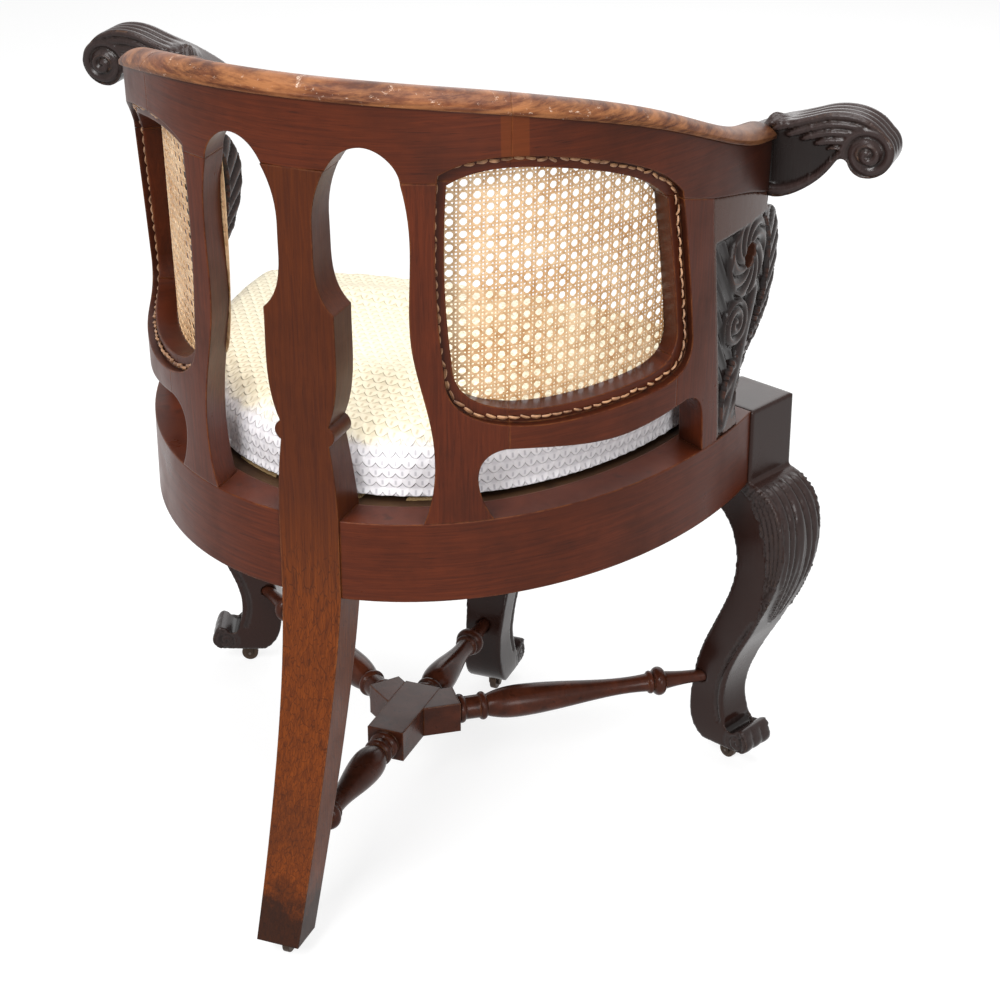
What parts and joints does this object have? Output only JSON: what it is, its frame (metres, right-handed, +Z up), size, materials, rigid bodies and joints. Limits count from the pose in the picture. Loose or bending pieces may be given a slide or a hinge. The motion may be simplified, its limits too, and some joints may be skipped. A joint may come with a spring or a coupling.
{
  "type": "burgermeister chair",
  "caption": "Round-backed burgermeister armchair with caned panels, a shaped splat, outscrolled arms, cabriole legs on casters, crossed turned stretchers and a thick drop-in cushion.",
  "frame": {"origin": "centre of the footprint box on the floor", "axes": "+X to the sitter's left, -Y the way the sitter faces, +Z up"},
  "size_m": [0.8484, 0.6226, 0.819],
  "materials": {
    "mahogany": "old polished reddish brown mahogany, satin",
    "worn_mahogany": "mahogany worn lighter towards the foot, fine dark cracks",
    "carved_mahogany": "carved mahogany, nearly black in the hollows, satin",
    "turned_mahogany": "dark turned mahogany, glossy polish",
    "cane": "split rattan cane in the six-way open weave, satin",
    "beech": "plain unpolished beech",
    "jute_webbing": "woven jute straps",
    "waffle_cloth": "cream waffle-weave upholstery cloth, matt",
    "caster_iron": "dark iron, dull",
    "caster_wheel": "dark iron wheel, worn smooth",
    "steel": "old steel"
  },
  "bodies": {
    "chair": {"arm_rail_left": "mahogany", "arm_rail_right": "mahogany", "arm_support_left": "carved_mahogany", "arm_support_right": "carved_mahogany", "cane_panel_left": "cane", "cane_panel_right": "cane", "cap_back": "mahogany", "cap_left": "mahogany", "cap_right": "mahogany", "caster_plate_front": "caster_iron", "caster_plate_left": "caster_iron", "caster_plate_rear": "caster_iron", "caster_plate_right": "caster_iron", "caster_screws": "steel", "crest_rail": "mahogany", "front_leg": "carved_mahogany", "inner_stile_left": "mahogany", "inner_stile_right": "mahogany", "knee_ear_left": "carved_mahogany", "knee_ear_right": "carved_mahogany", "knee_ears_front": "carved_mahogany", "left_leg": "carved_mahogany", "outer_stile_left": "mahogany", "outer_stile_right": "mahogany", "panel_rail_left": "mahogany", "panel_rail_right": "mahogany", "rear_post": "worn_mahogany", "right_leg": "carved_mahogany", "scroll_hand_left": "carved_mahogany", "scroll_hand_right": "carved_mahogany", "seat_cushion": "waffle_cloth", "seat_frame": "beech", "seat_rail_back_left": "mahogany", "seat_rail_back_right": "mahogany", "seat_rail_front_left": "mahogany", "seat_rail_front_right": "mahogany", "seat_webbing": "jute_webbing", "stretcher_left": "turned_mahogany", "stretcher_main": "turned_mahogany", "stretcher_right": "turned_mahogany"},
    "swivel_rear": {"caster_horn_rear": "caster_iron", "caster_axle_rear": "steel"},
    "wheel_rear": {"caster_wheel_rear": "caster_wheel"},
    "swivel_left": {"caster_horn_left": "caster_iron", "caster_axle_left": "steel"},
    "wheel_left": {"caster_wheel_left": "caster_wheel"},
    "swivel_right": {"caster_horn_right": "caster_iron", "caster_axle_right": "steel"},
    "wheel_right": {"caster_wheel_right": "caster_wheel"},
    "swivel_front": {"caster_horn_front": "caster_iron", "caster_axle_front": "steel"},
    "wheel_front": {"caster_wheel_front": "caster_wheel"}
  },
  "joints": [
    {"name": "swivel_rear_turn", "type": "hinge", "parent": "chair", "child": "swivel_rear", "pos_m": [0, 0.2933, 0.023], "axis": [0, 0, 1], "continuous": true},
    {"name": "wheel_rear_spin", "type": "hinge", "parent": "swivel_rear", "child": "wheel_rear", "pos_m": [0, 0.2873, 0.009], "axis": [1, 0, 0], "continuous": true},
    {"name": "swivel_left_turn", "type": "hinge", "parent": "chair", "child": "swivel_left", "pos_m": [0.28626, -0.18892, 0.023], "axis": [0, 0, 1], "continuous": true},
    {"name": "wheel_left_spin", "type": "hinge", "parent": "swivel_left", "child": "wheel_left", "pos_m": [0.28067, -0.19112, 0.009], "axis": [0.3665, -0.9304, 0], "continuous": true},
    {"name": "swivel_right_turn", "type": "hinge", "parent": "chair", "child": "swivel_right", "pos_m": [-0.28626, -0.18892, 0.023], "axis": [0, 0, 1], "continuous": true},
    {"name": "wheel_right_spin", "type": "hinge", "parent": "swivel_right", "child": "wheel_right", "pos_m": [-0.28067, -0.19112, 0.009], "axis": [-0.3665, -0.9304, 0], "continuous": true},
    {"name": "swivel_front_turn", "type": "hinge", "parent": "chair", "child": "swivel_front", "pos_m": [0, -0.2387, 0.023], "axis": [0, 0, 1], "continuous": true},
    {"name": "wheel_front_spin", "type": "hinge", "parent": "swivel_front", "child": "wheel_front", "pos_m": [0, -0.2327, 0.009], "axis": [-1, 0, 0], "continuous": true}
  ]
}
